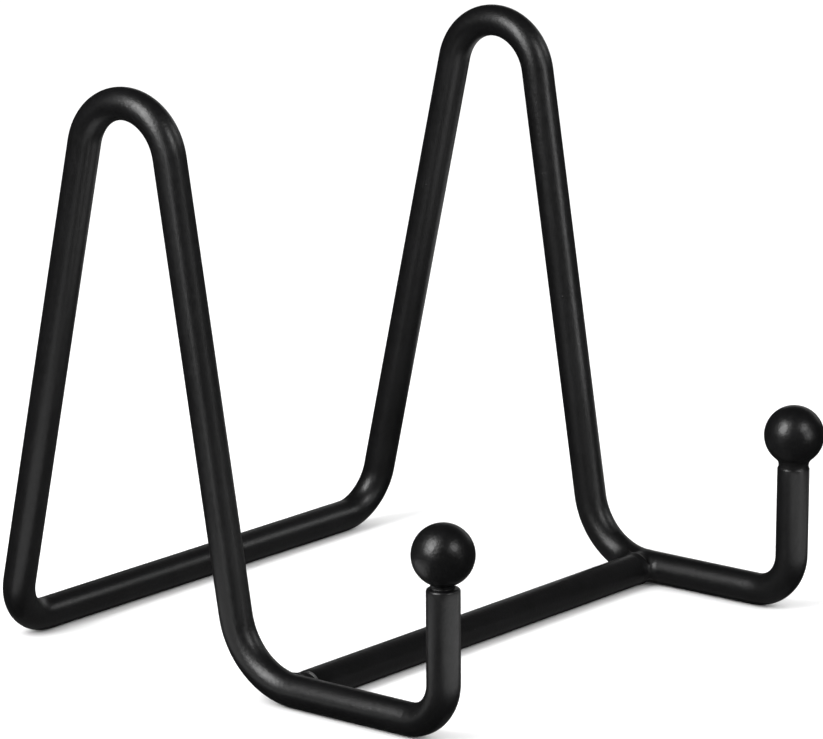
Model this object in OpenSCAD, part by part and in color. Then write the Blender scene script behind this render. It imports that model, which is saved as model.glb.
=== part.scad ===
// Small tabletop display stand: one bent steel rod, a welded crossbar and two ball tips.
// X runs across the stand, Y from the front (-) to the back (+), Z up from the table.

/* [Rod] */
// Finished diameter of the steel rod, coating included
rod_d = 5.2; // [4.4:0.1:6]
// Extra radius of the rod round a bend, where bending thickens it
bend_swell = 0.02; // [0.02:0.01:0.06]
// Chamfer on the two rod tips under the balls
tip_chamfer = 0.4; // [0.2:0.1:0.6]

/* [Side frames] */
// Overall height, from the table to the top of the hairpin bends
stand_h = 92.2; // [80:0.2:120]
// Distance between the two side frames at the base, centre to centre
frame_gap = 89.8; // [70:0.2:140]
// Backward lean of the front legs, in degrees
front_lean = 9.7; // [7:0.1:13]
// Forward lean of the rear legs, in degrees
rear_lean = 12.2; // [8:0.1:15]
// Outward lean of each side frame, in degrees
side_splay = 0.5; // [0.1:0.1:2]

/* [Album ledge] */
// Length of each arm, from the lip's centre line to the leg's corner
arm_l = 38.8; // [32:0.2:60]
// Height of the ball centres above the table
ball_h = 29.3; // [24:0.1:45]
// Finished diameter of the balls
ball_d = 9.7; // [8.6:0.1:13]
// Distance of the crossbar in front of the leg's corner
crossbar_set = 10; // [9:0.1:14]

/* [Bend radii] */
// Centre-line radius of the bend under each lip
lip_bend = 6.8; // [5:0.1:9]
// Centre-line radius of the bend from each arm to its front leg
foot_bend = 12.1; // [8:0.1:14]
// Centre-line radius of the hairpin bend at the top
top_bend = 8.8; // [7:0.1:11]
// Centre-line radius of the bend from each rear leg to the rear bar
rear_bend = 7.7; // [6:0.1:10]

/* [Welds] */
// Gap between the crossbar's cut ends and the arms, filled by weld metal
root_gap = 0.4; // [0.3:0.1:0.8]
// Height of the weld bead above the crossbar's surface
bead_h = 0.5; // [0.3:0.1:0.8]
// Length of crossbar that the weld bead covers
bead_l = 2; // [1:0.1:4]
// Height at which the bead is dressed off, so that the rods alone touch the table
bead_floor = 0.3; // [0.2:0.1:0.6]
// Gap between each rod tip and the bottom of its ball, filled by weld metal
ball_gap = 0.25; // [0.15:0.05:0.5]
// Diameter of the weld neck under each ball
neck_d = 4.1; // [3.4:0.1:4.2]

/* [Hidden] */
$fn = 72;
fine_fn = 180;
LEFT = -1;
RIGHT = 1;
COAT = [0.09, 0.09, 0.095];
WELD = [0.13, 0.13, 0.135];

rod_r = rod_d / 2;
bend_r = rod_r + bend_swell;
ball_r = ball_d / 2;

// Length of each straight that is seated inside the bend at its end
seat_l = 0.3;
// Height of the crossbar's weld bead at its toe, where it runs out on the bar
toe_h = 0.05;
// Share of the bead's length at which it reaches its full height, from the bar's end
crown_share = 1 / 3;
// Reach of the bead's crown and nose into the arm, and the nose's radius, as shares of the rod's
body_share = 0.4;
nose_share = 0.9;
nose_r_share = 0.97;
// Height of the neck under a ball, which ends inside the ball's outline
neck_h = ball_d / 4;

// Heights in a side frame are measured up its own plane, from the base's centre line
base_h = bend_r;
top_centre_h = (stand_h - base_h - bend_r) / cos(side_splay) - top_bend;
ball_centre_h = (ball_h - base_h) / cos(side_splay);
tip_h = ball_centre_h - ball_r - ball_gap;

// Turn of each bend, in degrees
foot_turn = 90 - front_lean;
top_turn = 180 - front_lean - rear_lean;
rear_turn = 90 - asin(sin(side_splay) * cos(rear_lean));
rear_tilt = atan2(sin(rear_lean), cos(rear_lean) * cos(side_splay));

// Length of rod that a bend takes from the straight on each side of its corner
foot_take = foot_bend * tan(foot_turn / 2);
rear_take = rear_bend * tan(rear_turn / 2);

// Front-to-back places, with the stand's box centred on Y = 0
front_run = top_bend / cos(front_lean) + top_centre_h * tan(front_lean);
rear_run = top_bend / cos(rear_lean) + top_centre_h * tan(rear_lean);
depth = ball_r + arm_l + front_run + rear_run + bend_r;
lip_y = ball_r - depth / 2;
leg_y = lip_y + arm_l;
rear_y = leg_y + front_run + rear_run;
crossbar_y = leg_y - crossbar_set;

// Straight lengths of rod between the bends
post_l = tip_h - tip_chamfer - lip_bend;
arm_straight = arm_l - lip_bend - foot_take;
front_leg_l = (top_centre_h + top_bend * sin(front_lean)) / cos(front_lean) - foot_take;
rear_leg_l = (top_centre_h + top_bend * sin(rear_lean)) / cos(rear_lean) - rear_take;
rear_bar_l = frame_gap - 2 * rear_take;
crossbar_l = frame_gap - rod_d - 2 * root_gap;

// Profile of the crossbar's weld, along the bar from its cut end
bead_r = rod_r + bead_h;
bead_toe_r = rod_r + toe_h;
bead_crown_l = bead_l * crown_share;
bead_body_l = root_gap + rod_r * body_share;
bead_nose_l = root_gap + rod_r * nose_share;
bead_nose_r = rod_r * nose_r_share;

// Mirrors its children to the left side of the stand, or leaves them on the right
module on_side(side) {
    mirror([side == LEFT ? 1 : 0, 0, 0])
        children();
}

// Stands a shape drawn flat (x = back, y = up, z = outward) in the plane of a side frame,
// with its origin where the lip's bend meets the arm
module in_side_frame(side) {
    on_side(side)
        translate([frame_gap / 2, 0, base_h])
            rotate([0, side_splay, 0])
                rotate([90, 0, 90])
                    translate([lip_y + lip_bend, 0, 0])
                        children();
}

// Straight rod along x from the origin, seated in a bend at each end.
// Its children go on from the far end.
module straight(length) {
    translate([-seat_l, 0, 0])
        rotate([0, 90, 0])
            cylinder(h = length + 2 * seat_l, r = rod_r);
    translate([length, 0, 0])
        children();
}

// Bend from the origin, heading along x and turning towards y (left) or away from it (right).
// Its children go on from the far end.
module bend(radius, turn, way = "left") {
    side = way == "left" ? 1 : -1;
    translate([0, side * radius, 0])
        rotate([0, 0, side > 0 ? -90 : 90 - turn])
            rotate_extrude(angle = turn)
                translate([radius, 0])
                    circle(r = bend_r);
    translate([0, side * radius, 0])
        rotate([0, 0, side * turn])
            translate([0, -side * radius, 0])
                children();
}

// Lip post with the chamfered tip that carries a ball; it heads along x from the origin
module post() {
    translate([-seat_l, 0, 0])
        rotate([0, 90, 0])
            cylinder(h = post_l + seat_l, r = rod_r);
    translate([post_l, 0, 0])
        rotate([0, 90, 0])
            cylinder(h = tip_chamfer, r1 = rod_r, r2 = rod_r - tip_chamfer);
}

module lip() {
    rotate([0, 0, 180])
        bend(lip_bend, 90, "right")
            post();
}

// Arm that the album rests on, with the bend up into the front leg
module arm() {
    straight(arm_straight)
        bend(foot_bend, foot_turn)
            children();
}

module legs() {
    straight(front_leg_l)
        bend(top_bend, top_turn, "right")
            straight(rear_leg_l);
}

// Bend from the rear bar up into a rear leg
module rear_corner(side) {
    on_side(side)
        translate([rear_bar_l / 2, rear_y, base_h])
            rotate([rear_tilt + 90, 0, 0])
                bend(rear_bend, rear_turn);
}

module rear_bar() {
    translate([-rear_bar_l / 2, rear_y, base_h])
        straight(rear_bar_l);
}

module bent_frame() {
    color(COAT) {
        rear_bar();
        for (side = [LEFT, RIGHT]) {
            rear_corner(side);
            in_side_frame(side) {
                lip();
                arm()
                    legs();
            }
        }
    }
}

module crossbar_rod() {
    translate([-crossbar_l / 2, crossbar_y, base_h])
        rotate([0, 90, 0])
            cylinder(h = crossbar_l, r = rod_r);
}

module front_crossbar() {
    color(COAT)
        crossbar_rod();
}

// Ball at its place over the lip post, in the plane of the side frame
module ball_shape() {
    translate([-lip_bend, ball_centre_h, 0])
        sphere(r = ball_r);
}

module ball(side) {
    color(COAT)
        in_side_frame(side)
            ball_shape();
}

// Weld bead round the end of the crossbar, filling the gap to the arm
module crossbar_weld(side) {
    color(WELD)
        difference() {
            on_side(side)
                translate([crossbar_l / 2, crossbar_y, base_h])
                    rotate([0, 90, 0])
                        rotate_extrude()
                            polygon([
                                [0, -bead_l], [bead_toe_r, -bead_l], [bead_r, -bead_crown_l],
                                [bead_r, bead_body_l], [bead_nose_r, bead_nose_l], [0, bead_nose_l]
                            ]);
            crossbar_rod();
            in_side_frame(side)
                arm();
            translate([side * frame_gap / 2, crossbar_y, bead_floor - rod_d])
                cube(2 * rod_d, center = true);
        }
}

// Weld nugget between a rod tip and its ball
module ball_weld(side) {
    $fn = fine_fn;
    color(WELD)
        in_side_frame(side)
            difference() {
                translate([-lip_bend, tip_h, 0])
                    rotate([-90, 0, 0])
                        cylinder(h = neck_h, d = neck_d);
                ball_shape();
            }
}

bent_frame();
front_crossbar();
ball(LEFT);  // ball_left
ball(RIGHT);  // ball_right
crossbar_weld(LEFT);  // crossbar_weld_left
crossbar_weld(RIGHT);  // crossbar_weld_right
ball_weld(LEFT);  // ball_weld_left
ball_weld(RIGHT);  // ball_weld_right
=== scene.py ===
"""Looks of a small display stand: one bent black rod, a welded crossbar and two ball tips.

Shapes are worked out in millimetres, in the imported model's frame, and turned into metres when a
mesh is made. X runs across the stand, Y from the front (-) to the back (+), Z up from the table.
"""

import math

import bmesh
import bpy
import numpy as np
from mathutils import Matrix, Vector, noise


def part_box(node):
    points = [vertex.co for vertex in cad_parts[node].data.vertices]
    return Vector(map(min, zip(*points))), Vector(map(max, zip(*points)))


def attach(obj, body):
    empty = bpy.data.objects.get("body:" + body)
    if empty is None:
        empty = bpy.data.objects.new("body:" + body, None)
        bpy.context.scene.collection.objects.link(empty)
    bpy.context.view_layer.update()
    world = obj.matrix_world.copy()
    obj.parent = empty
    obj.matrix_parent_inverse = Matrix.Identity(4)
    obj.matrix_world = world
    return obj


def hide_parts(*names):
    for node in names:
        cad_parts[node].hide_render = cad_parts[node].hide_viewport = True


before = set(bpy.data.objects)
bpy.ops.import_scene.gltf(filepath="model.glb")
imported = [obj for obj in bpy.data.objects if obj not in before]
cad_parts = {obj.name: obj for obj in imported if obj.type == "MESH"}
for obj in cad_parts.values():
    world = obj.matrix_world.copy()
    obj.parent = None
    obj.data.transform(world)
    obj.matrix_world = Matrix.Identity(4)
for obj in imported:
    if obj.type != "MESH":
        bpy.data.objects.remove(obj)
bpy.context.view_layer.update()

MM = 0.001
LEFT = -1
RIGHT = 1
SIDE_NAMES = {LEFT: "left", RIGHT: "right"}

# Bends of the rod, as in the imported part: centre-line radii in mm, leans in degrees
LIP_BEND = 6.8
FOOT_BEND = 12.1
TOP_BEND = 8.8
REAR_BEND = 7.7
FRONT_LEAN = math.radians(9.7)
REAR_LEAN = math.radians(12.2)
SIDE_SPLAY = math.radians(0.5)

# Gap between each rod tip and its ball, which the weld neck fills
BALL_GAP = 0.25
# Round-over of the sheared rod tips under the balls, and of the crossbar's sawn ends
TIP_ROUND = 0.45
SAWN_ROUND = 0.22
# A cold bend narrows the rod in the bend's plane and widens it across
BEND_NARROWING = 0.05
BEND_WIDENING = 0.015

# Mesh of the rods: spacing along straights and bends, fewest steps in a bend, sides of the
# section, and rings in an end's rounding and across its flat face
STRAIGHT_STEP = 1.2
BEND_STEP = 0.5
LEAST_BEND_STEPS = 6
ROD_SIDES = 64
END_RINGS = 5
CAP_RINGS = 4
# Round-overs from an end within which the rod has no ring but the end's own
END_CLEARANCE = 1.5

# Balls: grid cells along each edge of the starting cube, half the depth of the deepest dents, dents
# to a radius, and the shift in the noise that makes the two balls differ
BALL_CELLS = 40
DENT_DEPTH = 0.012
BALL_DENTS = 1.7
BALL_NOISE_SHIFT = 9.0

# Weld meshes: spacing at the crossbar and at the balls, passes that settle points on the surface,
# the share of the spacing that one pass may move them, and the least slope it counts on
WELD_STEP = 0.14
NECK_STEP = 0.12
SETTLING_PASSES = 3
NUDGE_SHARE = 0.25
LEAST_SLOPE_SQUARED = 0.25

# Welds: how far their hidden roots lie under the rods' skin, how fast they sink away from the
# joint, and the height over the table at which they are dressed off
WELD_SINK = 0.015
SINK_SLOPE = 0.1
WELD_FLOOR = 0.3
# Ripples that the runs of a weld bead leave: half their height, and their spacing
RIPPLE_HEIGHT = 0.015
RIPPLE_PITCH = 0.9


def size_of(node):
    """Lowest and highest corner of a CAD node, in millimetres."""
    low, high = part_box(node)
    return np.array(low) / MM, np.array(high) / MM


def measure():
    """The stand's main dimensions in millimetres, read from the boxes of its CAD nodes."""
    m = {}
    bar_low, bar_high = size_of("front_crossbar")
    frame_low, frame_high = size_of("bent_frame")
    ball_low, ball_high = size_of("ball_right")
    m["rod_r"] = (bar_high[2] - bar_low[2]) / 2
    m["base_h"] = (bar_high[2] + bar_low[2]) / 2
    m["bar_y"] = (bar_high[1] + bar_low[1]) / 2
    m["bar_half"] = bar_high[0]
    m["ball_r"] = (ball_high[2] - ball_low[2]) / 2
    m["ball_x"], m["lip_y"], ball_z = (ball_low + ball_high) / 2
    m["ball_h"] = (ball_z - m["base_h"]) / math.cos(SIDE_SPLAY)
    m["half_gap"] = m["ball_x"] - m["ball_h"] * math.sin(SIDE_SPLAY)
    m["tip_h"] = m["ball_h"] - m["ball_r"] - BALL_GAP
    rise = frame_high[2] - 2 * m["base_h"]
    m["top_h"] = rise / math.cos(SIDE_SPLAY) - TOP_BEND
    m["rear_y"] = frame_high[1] - m["base_h"]
    m["top_y"] = m["rear_y"] - TOP_BEND / math.cos(REAR_LEAN) - m["top_h"] * math.tan(REAR_LEAN)
    m["leg_y"] = m["top_y"] - TOP_BEND / math.cos(FRONT_LEAN) - m["top_h"] * math.tan(FRONT_LEAN)
    return m


M = measure()


# ---------------------------------------------------------------- rod paths


class RodPath:
    """Centre line of a bent rod, walked from one end with a section frame that never twists.

    A station is a place on the line: its centre, the section's two directions and the bend's axis.
    """

    def __init__(self, start, heading, across):
        self.at = Vector(start)
        self.heading = Vector(heading).normalized()
        self.across = Vector(across).normalized()
        self.stations = []
        self.mark(Vector())

    def mark(self, bend_axis):
        """Keeps the present place; bend_axis is the bend's axis, as long as the bend is full."""
        other = self.heading.cross(self.across)
        self.stations.append((self.at.copy(), self.across.copy(), other, bend_axis))

    def straight(self, length):
        """Goes straight on."""
        steps = max(1, round(length / STRAIGHT_STEP))
        for _ in range(steps):
            self.at += self.heading * (length / steps)
            self.mark(Vector())

    def bend(self, radius, turn, axis):
        """Turns by an angle about an axis square to the heading."""
        axis = Vector(axis).normalized()
        steps = max(LEAST_BEND_STEPS, round(radius * turn / BEND_STEP))
        centre = self.at + axis.cross(self.heading) * radius
        step_turn = Matrix.Rotation(turn / steps, 3, axis)
        for i in range(steps):
            self.at = centre + step_turn @ (self.at - centre)
            self.heading = step_turn @ self.heading
            self.across = step_turn @ self.across
            along = (i + 1) / steps
            fullness = math.sin(math.pi * along) ** 0.5 if along < 1 else 0
            self.mark(axis * fullness)


def plane_point(y, h):
    """Point of the right side frame's plane, h up its slope from the base."""
    x = M["half_gap"] + h * math.sin(SIDE_SPLAY)
    return Vector((x, y, M["base_h"] + h * math.cos(SIDE_SPLAY)))


def mirrored(station):
    """The same station on the other side of the stand."""
    return tuple(Vector((-v.x, v.y, v.z)) for v in station)


def frame_stations():
    """Stations of the whole bent rod, from the right tip to the left one."""
    up = Vector((math.sin(SIDE_SPLAY), 0, math.cos(SIDE_SPLAY)))
    out = Vector((math.cos(SIDE_SPLAY), 0, -math.sin(SIDE_SPLAY)))
    foot_turn = math.pi / 2 - FRONT_LEAN
    top_turn = math.pi - FRONT_LEAN - REAR_LEAN
    foot_take = FOOT_BEND * math.tan(foot_turn / 2)
    rear_heading = Vector((0, math.sin(REAR_LEAN), 0)) - up * math.cos(REAR_LEAN)
    rear_turn = rear_heading.angle(Vector((-1, 0, 0)))
    rear_take = REAR_BEND * math.tan(rear_turn / 2)
    front_leg = (M["top_h"] + TOP_BEND * math.sin(FRONT_LEAN)) / math.cos(FRONT_LEAN) - foot_take
    rear_leg = (M["top_h"] + TOP_BEND * math.sin(REAR_LEAN)) / math.cos(REAR_LEAN) - rear_take

    path = RodPath(plane_point(M["lip_y"], M["tip_h"]), -up, out)
    path.straight(M["tip_h"] - LIP_BEND)
    path.bend(LIP_BEND, math.pi / 2, out)
    path.straight(M["leg_y"] - M["lip_y"] - LIP_BEND - foot_take)
    path.bend(FOOT_BEND, foot_turn, out)
    path.straight(front_leg)
    path.bend(TOP_BEND, top_turn, -out)
    path.straight(rear_leg)
    path.bend(REAR_BEND, rear_turn, path.heading.cross(Vector((-1, 0, 0))))
    path.straight(M["half_gap"] - rear_take)
    return path.stations + [mirrored(s) for s in reversed(path.stations[:-1])]


def bar_stations():
    """Stations of the straight crossbar, from the left end to the right one."""
    path = RodPath((-M["bar_half"], M["bar_y"], M["base_h"]), (1, 0, 0), (0, 1, 0))
    path.straight(2 * M["bar_half"])
    return path.stations


# ---------------------------------------------------------------- meshes


def add_object(name, data):
    """Object in the scene that shows a mesh, a light or a camera."""
    made = bpy.data.objects.new(name, data)
    bpy.context.scene.collection.objects.link(made)
    return made


def object_from(bm, name):
    """Object whose mesh is a bmesh in metres, which is used up."""
    mesh = bpy.data.meshes.new(name)
    bm.to_mesh(mesh)
    bm.free()
    return add_object(name, mesh)


def make_mesh(name, points, faces):
    """Smooth-shaded object from points in millimetres."""
    mesh = bpy.data.meshes.new(name)
    mesh.from_pydata((np.array(points, float) * MM).tolist(), [], faces)
    mesh.validate()
    bm = bmesh.new()
    bm.from_mesh(mesh)
    bmesh.ops.recalc_face_normals(bm, faces=bm.faces)
    bm.to_mesh(mesh)
    bm.free()
    mesh.shade_smooth()
    return add_object(name, mesh)


def section_radius(direction, bend_axis):
    """Radius of the rod in a direction of its section, with the ovality of a cold bend."""
    full = bend_axis.length_squared
    across = bend_axis.dot(direction) ** 2
    return M["rod_r"] + BEND_WIDENING * across - BEND_NARROWING * (full - across)


def ring(station, inset=0.0, shift=0.0):
    """Points round the rod at a station, drawn in by inset and moved on along the rod by shift."""
    centre, across, other, bend_axis = station
    along = across.cross(other)
    points = []
    for i in range(ROD_SIDES):
        angle = 2 * math.pi * i / ROD_SIDES
        direction = across * math.cos(angle) + other * math.sin(angle)
        radius = section_radius(direction, bend_axis) - inset
        points.append(centre + direction * radius + along * shift)
    return points


def end_rings(station, rounding, sign):
    """Rings of a rounded, flat-faced end, from the face's middle out to the rod's side."""
    rings = []
    flat = M["rod_r"] - rounding
    for i in range(1, CAP_RINGS + 1):
        rings.append(ring(station, M["rod_r"] - flat * i / CAP_RINGS))
    for i in range(1, END_RINGS + 1):
        angle = math.pi / 2 * i / END_RINGS
        inset = rounding * (1 - math.sin(angle))
        shift = sign * rounding * (1 - math.cos(angle))
        rings.append(ring(station, inset, shift))
    return rings


def end_gap(station, first, last):
    """Distance from a station to the nearer end of its rod."""
    return min((station[0] - first[0]).length, (station[0] - last[0]).length)


def rod(name, stations, rounding):
    """Closed quad tube along the stations, with rounded ends."""
    first, last = stations[0], stations[-1]
    clearance = rounding * END_CLEARANCE
    inner = [s for s in stations[1:-1] if end_gap(s, first, last) > clearance]
    rings = end_rings(first, rounding, 1)
    rings += [ring(s) for s in inner]
    rings += reversed(end_rings(last, rounding, -1))
    points = [p for r in rings for p in r]
    faces = []
    for r in range(len(rings) - 1):
        for i in range(ROD_SIDES):
            j = (i + 1) % ROD_SIDES
            a, b = r * ROD_SIDES, (r + 1) * ROD_SIDES
            faces.append((a + i, a + j, b + j, b + i))
    for centre, start in ((first[0], 0), (last[0], len(points) - ROD_SIDES)):
        middle = len(points)
        points.append(centre)
        for i in range(ROD_SIDES):
            faces.append((middle, start + i, start + (i + 1) % ROD_SIDES))
    return make_mesh(name, points, faces)


def ball(side):
    """Forged ball: a cube's grid blown up to a sphere, dented a little but nowhere proud."""
    height = M["base_h"] + M["ball_h"] * math.cos(SIDE_SPLAY)
    centre = Vector((side * M["ball_x"], M["lip_y"], height))
    shift = Vector((BALL_NOISE_SHIFT * side, 0, 0))
    bm = bmesh.new()
    bmesh.ops.create_cube(bm, size=2)
    bmesh.ops.subdivide_edges(bm, edges=bm.edges, cuts=BALL_CELLS - 1, use_grid_fill=True)
    for v in bm.verts:
        even = Vector([math.tan(c * math.pi / 4) for c in v.co]).normalized()
        dent = DENT_DEPTH * (1 - noise.noise(even * BALL_DENTS + shift))
        v.co = (centre + even * (M["ball_r"] - dent)) * MM
    piece = object_from(bm, f"{SIDE_NAMES[side]}_ball")
    piece.data.shade_smooth()
    return piece


# ---------------------------------------------------------------- weld metal


def segment_distance(points, a, b):
    """Distance of many points to the segment a-b."""
    line = b - a
    along = np.clip((points - a) @ line / (line @ line), 0, 1)
    return np.linalg.norm(points - a - along[:, None] * line, axis=1)


def path_distance(points, stations, centre, reach):
    """Distance to the part of a rod's centre line that lies within reach of a centre."""
    near = [np.array(s[0]) for s in stations if (s[0] - Vector(centre)).length < reach]
    distances = [segment_distance(points, a, b) for a, b in zip(near, near[1:])]
    return np.min(distances, axis=0)


def blend(a, b, width):
    """Union of two distance fields, with a fillet about as wide as width."""
    h = np.maximum(width - np.abs(a - b), 0) / width
    return np.minimum(a, b) - h**3 * width / 6


def bead(points, a, b, radius_a, radius_b, ripple=RIPPLE_HEIGHT):
    """Tapered weld bead from a to b with the ripples of its runs."""
    line = b - a
    length = np.linalg.norm(line)
    along = np.clip((points - a) @ line / length**2, 0, 1)
    radius = radius_a + (radius_b - radius_a) * along
    radius = radius + ripple * np.cos(2 * np.pi * along * length / RIPPLE_PITCH)
    return np.linalg.norm(points - a - along[:, None] * line, axis=1) - radius


def surface_net(name, field, low, high, step):
    """Closed quad mesh of the surface where a field of many points is zero.

    Each grid cell that the surface crosses gets a point, at the mean of the crossings on its edges,
    and each crossed edge gets a face between the four cells round it.
    """
    axes = [np.arange(a, b + step, step) for a, b in zip(low, high)]
    grid = np.stack(np.meshgrid(*axes, indexing="ij"), axis=-1)
    value = field(grid.reshape(-1, 3)).reshape(grid.shape[:3])
    cells = tuple(n - 1 for n in value.shape)
    total = np.zeros(cells + (3,))
    count = np.zeros(cells)
    crossings = []
    for axis in range(3):
        u, v = (a for a in range(3) if a != axis)
        ahead = np.roll(value, -1, axis)
        change = (value < 0) != (ahead < 0)
        change[tuple(slice(-1, None) if a == axis else slice(None) for a in range(3))] = False
        place = grid.copy()
        place[..., axis] += step * np.where(change, value / np.where(change, value - ahead, 1), 0)
        for du in (0, 1):
            for dv in (0, 1):
                pick = [slice(0, n) for n in cells]
                pick[u] = slice(du, du + cells[u])
                pick[v] = slice(dv, dv + cells[v])
                crossed = change[tuple(pick)]
                total += np.where(crossed[..., None], place[tuple(pick)], 0)
                count += crossed
        crossings.append((u, v, np.argwhere(change)))
    used = count > 0
    index = np.full(cells, -1)
    index[used] = np.arange(used.sum())
    verts = total[used] / count[used][:, None]
    for _ in range(SETTLING_PASSES):
        verts = onto_surface(field, verts, step * NUDGE_SHARE)
    faces = []
    for u, v, spots in crossings:
        du, dv = np.eye(3, dtype=int)[u], np.eye(3, dtype=int)[v]
        around = (spots - du - dv, spots - dv, spots, spots - du)
        faces += np.stack([index[tuple(c.T)] for c in around], axis=1).tolist()
    return make_mesh(name, verts, faces)


def onto_surface(field, verts, nudge):
    """Moves points along the field's gradient, to where the field is zero."""
    value = field(verts)
    gradient = np.empty_like(verts)
    for axis in range(3):
        offset = np.zeros(3)
        offset[axis] = nudge
        gradient[:, axis] = (field(verts + offset) - field(verts - offset)) / (2 * nudge)
    squared = np.maximum((gradient**2).sum(axis=1), LEAST_SLOPE_SQUARED)
    return verts - gradient * np.clip(value / squared, -nudge, nudge)[:, None]


def sunk(distance, away, clear):
    """A rod's own field, sunk under its skin, and deeper beyond a clear radius from the joint."""
    return distance + WELD_SINK + SINK_SLOPE * np.maximum(away - clear, 0)


def bar_field(points, side):
    """Distance to the crossbar near one of its square ends."""
    radial = np.hypot(points[:, 1] - M["bar_y"], points[:, 2] - M["base_h"]) - M["rod_r"]
    past_end = side * points[:, 0] - M["bar_half"]
    return np.maximum(radial, past_end)


# Welds at each end of the crossbar, in mm. root is the height of the root run against the bar's
# skin; the softness of the corners runs from rear to front; smooth is the share of the weld's reach
# within which its fillets run out before they sink; each bead is its run along the arm, towards the
# front (-) or the rear (+), its radius and its height over the rods' axis
CROSSBAR_WELDS = {
    LEFT: {"root": -0.45, "rear_soft": 0.5, "front_soft": 0.9, "smooth": 0.4,
           "beads": ((-1.6, 0.8, 0.2), (1.8, 1.15, 0.7))},
    RIGHT: {"root": -0.1, "rear_soft": 4.6, "front_soft": 2.0, "smooth": 0.85, "beads": ()},
}
# Reach of a crossbar weld in rod radii, and of the stretch of arm that shapes it in reaches
WELD_REACH = 3.4
ARM_REACH = 1.3
# Softness where the root run and the beads join the rest
ROOT_SOFT = 0.5
BEAD_SOFT = 1.2
# Beads: depth of their axis under the rods' skins, how far outward they drift, their end's taper
BEAD_DEPTH = 0.1
BEAD_DRIFT = 0.3
BEAD_TAPER = 0.6
# Room round a crossbar weld in its grid, and over the rods
WELD_MARGIN = 0.5
WELD_HEADROOM = 5.2


def crossbar_weld(side, stations):
    """Weld metal of a crossbar joint: a root run in the gap and a fillet on each side of the bar."""
    shape = CROSSBAR_WELDS[side]
    rod_r, bar_y, base_h = M["rod_r"], M["bar_y"], M["base_h"]
    centre = np.array([side * M["bar_half"], bar_y, base_h])
    arm_axis = np.array([side * M["half_gap"], bar_y, base_h])
    bead_x = side * (M["half_gap"] - rod_r + BEAD_DEPTH)
    root_r = rod_r + shape["root"]
    reach = WELD_REACH * rod_r
    clear = reach * shape["smooth"]

    def field(points):
        away = np.linalg.norm(points - centre, axis=1)
        arm = path_distance(points, stations, centre, ARM_REACH * reach) - rod_r
        forward = np.clip(0.5 - (points[:, 1] - bar_y) / (2 * rod_r), 0, 1)
        soft = shape["rear_soft"] + (shape["front_soft"] - shape["rear_soft"]) * forward
        metal = blend(sunk(arm, away, clear), sunk(bar_field(points, side), away, clear), soft)
        metal = blend(metal, bead(points, centre, arm_axis, root_r, root_r, ripple=0), ROOT_SOFT)
        for run, radius, height in shape["beads"]:
            y = bar_y + math.copysign(rod_r - BEAD_DEPTH, run)
            start = np.array([bead_x, y, base_h + height])
            end = start + [side * BEAD_DRIFT, run, 0]
            metal = blend(metal, bead(points, start, end, radius, radius * BEAD_TAPER), BEAD_SOFT)
        return np.maximum(np.maximum(metal, away - reach), WELD_FLOOR - points[:, 2])

    near, far = side * (M["bar_half"] - reach), side * (M["half_gap"] + rod_r + WELD_MARGIN)
    low = np.array([min(near, far), bar_y - reach - WELD_MARGIN, 0])
    high = np.array([max(near, far), bar_y + reach + WELD_MARGIN, 2 * base_h + WELD_HEADROOM])
    return surface_net(f"{SIDE_NAMES[side]}_crossbar_weld", field, low, high, WELD_STEP)


# Weld neck under each ball, in mm: its radius, the softness of its fillet to the ball and its
# lopsidedness
BALL_WELDS = {
    LEFT: {"radius": 1.85, "soft": 0.25, "lean": 0.25},
    RIGHT: {"radius": 2.42, "soft": 0.8, "lean": -0.08},
}
# Height of the neck's middle over the rod's tip, half its height, and its softness to the rod
NECK_MIDDLE = 0.55
NECK_HALF = 1.05
NECK_SOFT = 0.15
# Direction of the lopsidedness, and the lumps round the neck
LEAN_ANGLE = 1.2
NECK_LUMPS = 5
NECK_LUMP_HEIGHT = 0.05
# Reach of the neck from the tip in rod radii, and the share of it that doesn't sink
NECK_REACH = 1.45
NECK_CLEAR = 0.8


def rounded_post(radial, height):
    """Distance to a rod that ends at height 0 with rounded edges."""
    outward = np.maximum(radial - M["rod_r"] + TIP_ROUND, 0)
    return np.hypot(outward, np.maximum(height + TIP_ROUND, 0)) - TIP_ROUND


def ball_weld(side):
    """Weld nugget that joins a rod tip to its ball."""
    shape = BALL_WELDS[side]
    up = np.array([side * math.sin(SIDE_SPLAY), 0, math.cos(SIDE_SPLAY)])
    base = np.array([side * M["half_gap"], M["lip_y"], M["base_h"]])
    tip = base + up * M["tip_h"]
    ball_centre = base + up * M["ball_h"]
    reach = NECK_REACH * M["rod_r"]
    clear = reach * NECK_CLEAR

    def field(points):
        away = np.linalg.norm(points - tip, axis=1)
        height = (points - tip) @ up
        radial = np.linalg.norm(points - tip - height[:, None] * up, axis=1)
        post = rounded_post(radial, height)
        globe = np.linalg.norm(points - ball_centre, axis=1) - M["ball_r"]
        angle = np.arctan2(points[:, 1] - tip[1], points[:, 0] - tip[0])
        lumps = NECK_LUMP_HEIGHT * np.cos(NECK_LUMPS * angle + side)
        radius = shape["radius"] + shape["lean"] * np.cos(angle - LEAN_ANGLE) + lumps
        neck = np.maximum(radial - radius, np.abs(height - NECK_MIDDLE) - NECK_HALF)
        shoulder = blend(sunk(globe, away, clear), neck, shape["soft"])
        return np.maximum(blend(shoulder, sunk(post, away, clear), NECK_SOFT), away - reach)

    margin = np.full(3, reach + 2 * NECK_STEP)
    return surface_net(f"{SIDE_NAMES[side]}_ball_weld", field, tip - margin, tip + margin, NECK_STEP)


# ---------------------------------------------------------------- materials

# Darkest and lightest black of the powder coat
COAT_DARK = (0.0015, 0.0015, 0.0017)
COAT_LIGHT = (0.003, 0.003, 0.0033)
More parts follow.
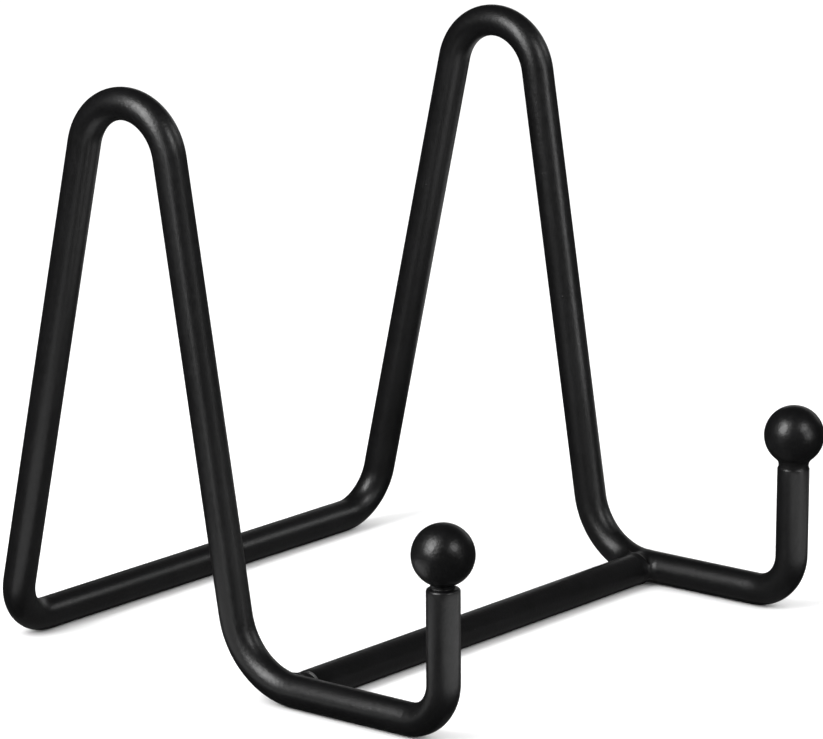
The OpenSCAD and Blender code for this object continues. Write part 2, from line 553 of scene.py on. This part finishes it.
# Sizes of the coat's features, in mm: drift of its tone, patches of gloss, orange peel and grain
DRIFT_SIZE = 6.0
GLOSS_SIZE = 0.8
PEEL_SIZE = 1.1
GRAIN_SIZE = 0.45
# Nibs, the specks caught in a powder coat, in mm
NIB_SPACING = 3.2
NIB_RADIUS = 0.16
NIB_HEIGHT = 0.05
# The floor's tones and the size of its mottling, in mm
FLOOR_DARK = (0.80, 0.80, 0.80)
FLOOR_LIGHT = (0.82, 0.82, 0.82)
MOTTLE_SIZE = 60.0
# Limits of the middle part of a noise, which is stretched over a whole range
NOISE_LOW = 0.3
NOISE_HIGH = 0.7


def new_material(name):
    """Material with only a Principled shader, its node tree, the shader and object coordinates."""
    material = bpy.data.materials.new(name)
    material.use_nodes = True
    tree = material.node_tree
    shader = tree.nodes["Principled BSDF"]
    place = tree.nodes.new("ShaderNodeTexCoord").outputs["Object"]
    return material, tree, shader, place


def add_noise(tree, place, size, detail):
    """Noise whose lumps are about size mm across."""
    node = tree.nodes.new("ShaderNodeTexNoise")
    node.inputs["Scale"].default_value = 1 / (size * MM)
    node.inputs["Detail"].default_value = detail
    node.inputs["Roughness"].default_value = 0.5
    tree.links.new(place, node.inputs["Vector"])
    return node.outputs["Fac"]


def add_ramp(tree, source, low, high):
    """Colour ramp from low to high over the middle of a noise."""
    node = tree.nodes.new("ShaderNodeValToRGB")
    node.color_ramp.elements[0].position = NOISE_LOW
    node.color_ramp.elements[1].position = NOISE_HIGH
    node.color_ramp.elements[0].color = (*low, 1)
    node.color_ramp.elements[1].color = (*high, 1)
    tree.links.new(source, node.inputs["Fac"])
    return node.outputs["Color"]


def add_range(tree, source, low, high):
    """Value that runs from low to high over the middle of a noise."""
    node = tree.nodes.new("ShaderNodeMapRange")
    node.inputs["From Min"].default_value = NOISE_LOW
    node.inputs["From Max"].default_value = NOISE_HIGH
    node.inputs["To Min"].default_value = low
    node.inputs["To Max"].default_value = high
    tree.links.new(source, node.inputs["Value"])
    return node.outputs["Result"]


def add_bump(tree, source, height, below=None):
    """Bump of that height in mm, laid over the bump below it."""
    node = tree.nodes.new("ShaderNodeBump")
    node.inputs["Distance"].default_value = height * MM
    tree.links.new(source, node.inputs["Height"])
    if below:
        tree.links.new(below, node.inputs["Normal"])
    return node.outputs["Normal"]


def add_nibs(tree, place, spacing, radius):
    """Rare specks of that radius in mm, one to each cell of that spacing where one meets the skin."""
    cells = tree.nodes.new("ShaderNodeTexVoronoi")
    cells.inputs["Scale"].default_value = 1 / (spacing * MM)
    tree.links.new(place, cells.inputs["Vector"])
    nib = tree.nodes.new("ShaderNodeMapRange")
    nib.interpolation_type = "SMOOTHSTEP"
    nib.inputs["From Min"].default_value = radius / spacing
    nib.inputs["From Max"].default_value = 0
    tree.links.new(cells.outputs["Distance"], nib.inputs["Value"])
    return nib.outputs["Result"]


def powder_coat(name, roughness, peel, grain):
    """Satin black powder coat: colour drift, uneven gloss, orange peel, fine grain and nibs.

    roughness is its lowest and highest value; peel and grain are bump heights in mm.
    """
    material, tree, shader, place = new_material(name)
    drift = add_noise(tree, place, DRIFT_SIZE, 3.0)
    patches = add_noise(tree, place, GLOSS_SIZE, 3.0)
    wide = add_noise(tree, place, PEEL_SIZE, 1.0)
    fine = add_noise(tree, place, GRAIN_SIZE, 2.0)
    tree.links.new(add_ramp(tree, drift, COAT_DARK, COAT_LIGHT), shader.inputs["Base Color"])
    tree.links.new(add_range(tree, patches, *roughness), shader.inputs["Roughness"])
    skin = add_bump(tree, fine, grain, add_bump(tree, wide, peel))
    nibs = add_nibs(tree, place, NIB_SPACING, NIB_RADIUS)
    tree.links.new(add_bump(tree, nibs, NIB_HEIGHT, skin), shader.inputs["Normal"])
    shader.inputs["IOR"].default_value = 1.5
    shader.inputs["Specular IOR Level"].default_value = 0.5
    return material


def rod_material():
    return powder_coat("coated_rod", (0.33, 0.41), peel=0.02, grain=0.03)


def ball_material():
    return powder_coat("coated_ball", (0.32, 0.40), peel=0.02, grain=0.03)


def weld_material():
    return powder_coat("coated_weld", (0.38, 0.46), peel=0.03, grain=0.03)


def floor_material():
    material, tree, shader, place = new_material("pale_floor")
    mottle = add_noise(tree, place, MOTTLE_SIZE, 2.0)
    tree.links.new(add_ramp(tree, mottle, FLOOR_DARK, FLOOR_LIGHT), shader.inputs["Base Color"])
    shader.inputs["Roughness"].default_value = 0.9
    shader.inputs["Specular IOR Level"].default_value = 0.0
    return material


def backdrop_material(brightness):
    material = bpy.data.materials.new("pale_backdrop")
    material.use_nodes = True
    shader = material.node_tree.nodes["Principled BSDF"]
    shader.inputs["Base Color"].default_value = (0, 0, 0, 1)
    shader.inputs["Specular IOR Level"].default_value = 0.0
    shader.inputs["Emission Color"].default_value = (1, 1, 1, 1)
    shader.inputs["Emission Strength"].default_value = brightness
    material.cycles.emission_sampling = "NONE"
    return material


# ---------------------------------------------------------------- stage

# Camera round the stand, in mm; it aims at a point near the middle of the stand
CAMERA_AZIMUTH = math.radians(-51.23)
CAMERA_ELEVATION = math.radians(13.86)
CAMERA_DISTANCE = 868.1
CAMERA_LENS = 240.7
AIM = Vector((0, -0.16, 42.25))
# Radius in metres of the floor and of the backdrop over it
FLOOR_RADIUS = 4.0
BACKDROP_BRIGHTNESS = 1.15
WORLD_BRIGHTNESS = 0.03
# Middle of a front leg, in mm: distance behind the stand's middle, and height
LEG_Y = 13
LEG_HEIGHT = 45
# Height of the cards over the table, in mm
CARD_HEIGHT = 1

# Cards that lie on the table: name, place and size in mm, and radiance
CARDS = (
    ("left_card", -92, 10, 75, 70, 0.85),
    ("middle_card", 0, 5, 90, 100, 0.08),
)
# The same, for the cards that are kept off the balls
CARDS_OFF_BALLS = (
    ("front_left_card", -48, -135, 94, 150, 1.45),
    ("front_right_card", 48, -135, 94, 150, 1.0),
    ("far_left_card", -165, -50, 60, 70, 1.1),
    ("right_card", 175, 5, 120, 150, 0.6),
)


def toward(azimuth, elevation):
    """Unit vector from the stand to a place round it, azimuth 0 being in front."""
    level = math.cos(elevation)
    return Vector((math.sin(azimuth) * level, -math.cos(azimuth) * level, math.sin(elevation)))


def camera():
    data = bpy.data.cameras.new("camera")
    data.lens = CAMERA_LENS
    data.sensor_width = 36
    data.clip_start = 0.01
    data.clip_end = 50
    made = add_object("camera", data)
    back = toward(CAMERA_AZIMUTH, CAMERA_ELEVATION)
    made.location = (AIM + back * CAMERA_DISTANCE) * MM
    made.rotation_euler = (-back).to_track_quat("-Z", "Y").to_euler()
    bpy.context.scene.camera = made


def area_light(name, width, height, radiance):
    """Rectangular light of a size in metres, which the camera doesn't see."""
    data = bpy.data.lights.new(name, "AREA")
    data.shape = "RECTANGLE"
    data.size = width
    data.size_y = height
    data.energy = radiance * math.pi * width * height
    made = add_object(name, data)
    made.visible_camera = False
    return made


def softbox(name, azimuth, elevation, distance, width, height, radiance, target=AIM):
    """Softbox that faces a target in mm.

    Its azimuth is counted from the camera's, in degrees; its distance and size are in metres.
    """
    made = area_light(name, width, height, radiance)
    back = toward(CAMERA_AZIMUTH + math.radians(azimuth), math.radians(elevation))
    made.location = target * MM + back * distance
    made.rotation_euler = (-back).to_track_quat("-Z", "Y").to_euler()
    return made


def gridded(light, half_angle):
    """Puts a honeycomb grid on a softbox, which keeps its brightness on the axis."""
    half = math.radians(half_angle)
    light.data.spread = 2 * half
    light.data.energy *= (math.tan(half) - half) / math.tan(half)


def bounce_card(name, x, y, width, depth, radiance):
    """Bright card that lies on the table beside the stand, facing up; places and sizes in mm."""
    made = area_light(name, width * MM, depth * MM, radiance)
    made.location = Vector((x, y, CARD_HEIGHT)) * MM
    made.rotation_euler = (math.pi, 0, 0)
    return made


def keep_off(light, pieces):
    """Keeps a light off some pieces."""
    shaded = bpy.data.collections.new(f"kept_off_{light.name}")
    light.light_linking.receiver_collection = shaded
    for piece in pieces:
        shaded.objects.link(piece)
    for member in shaded.collection_objects:
        member.light_linking.link_state = "EXCLUDE"


def floor():
    """Pale table, which isn't mirrored in the coat."""
    bm = bmesh.new()
    bmesh.ops.create_circle(bm, cap_ends=True, segments=96, radius=FLOOR_RADIUS)
    made = object_from(bm, "floor")
    made.data.materials.append(floor_material())
    made.visible_glossy = False


def backdrop():
    """Light tent over the whole floor, which fills the shadows and isn't mirrored in the coat."""
    bm = bmesh.new()
    bmesh.ops.create_uvsphere(bm, u_segments=96, v_segments=48, radius=FLOOR_RADIUS)
    under = [v for v in bm.verts if v.co.z < -FLOOR_RADIUS / 100]
    bmesh.ops.delete(bm, geom=under, context="VERTS")
    bmesh.ops.reverse_faces(bm, faces=bm.faces)
    made = object_from(bm, "backdrop")
    made.data.materials.append(backdrop_material(BACKDROP_BRIGHTNESS))
    made.visible_glossy = False
    made.visible_shadow = False


def surroundings():
    """Faint even light from all round."""
    world = bpy.data.worlds.new("studio")
    world.use_nodes = True
    background = world.node_tree.nodes["Background"]
    background.inputs["Color"].default_value = (1, 1, 1, 1)
    background.inputs["Strength"].default_value = WORLD_BRIGHTNESS
    bpy.context.scene.world = world


def leg_middle(side):
    """Point in the middle of a front leg, in mm."""
    return Vector((side * M["half_gap"], LEG_Y, LEG_HEIGHT))


def lamps():
    """Softboxes and cards that light every piece."""
    left_leg, right_leg = leg_middle(LEFT), leg_middle(RIGHT)
    # Both highlights of each ball, and the tops of the arms and hairpins
    gridded(softbox("left_softbox", -50, 37, 0.5, 0.25, 0.42, 13.0, left_leg), 50)
    softbox("right_softbox", 47, 34, 1.2, 0.36, 0.36, 9.0)
    # The bright band down each front leg
    gridded(softbox("left_strip", -19, 1, 0.12, 0.02, 0.12, 10.5, left_leg), 10)
    gridded(softbox("right_strip", 54, 7, 0.3, 0.13, 0.17, 8.5, right_leg), 13)
    # The rims seen from the front, and the stand's back
    softbox("rear_panel", 160, 12, 1.6, 1.4, 0.5, 0.6)
    for card in CARDS:
        bounce_card(*card)


def lamps_off_some(bar_parts, ball_parts):
    """Lamps that some pieces are shaded from: the balls, and the crossbar from one of them."""
    panel = softbox("right_side_panel", 105, 28, 1.4, 0.42, 0.42, 3.2)
    keep_off(panel, bar_parts + ball_parts)
    for card in CARDS_OFF_BALLS:
        keep_off(bounce_card(*card), ball_parts)


def build_stage():
    scene = bpy.context.scene
    scene.view_settings.view_transform = "Standard"
    scene.view_settings.look = "None"
    camera()
    floor()
    backdrop()
    surroundings()
    lamps()


# ---------------------------------------------------------------- stand


def dress(piece, material, slot, *nodes):
    """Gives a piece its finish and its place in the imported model."""
    piece.data.materials.append(material)
    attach(piece, "root")
    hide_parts(*nodes)


def build_stand():
    """Makes all the pieces; gives back the crossbar with its welds, and the balls with theirs."""
    stations = frame_stations()
    coat, ball_coat, weld_coat = rod_material(), ball_material(), weld_material()
    dress(rod("bent_rod", stations, TIP_ROUND), coat, "coated_rod", "bent_frame")
    crossbar = rod("crossbar_rod", bar_stations(), SAWN_ROUND)
    dress(crossbar, coat, "coated_rod", "front_crossbar")
    bar_parts, ball_parts = [crossbar], []
    for side, name in SIDE_NAMES.items():
        knob, neck, weld = ball(side), ball_weld(side), crossbar_weld(side, stations)
        dress(knob, ball_coat, "coated_ball", f"ball_{name}")
        dress(neck, weld_coat, "coated_weld", f"ball_weld_{name}")
        dress(weld, weld_coat, "coated_weld", f"crossbar_weld_{name}")
        bar_parts.append(weld)
        ball_parts += [knob, neck]
    return bar_parts, ball_parts


build_stage()
lamps_off_some(*build_stand())
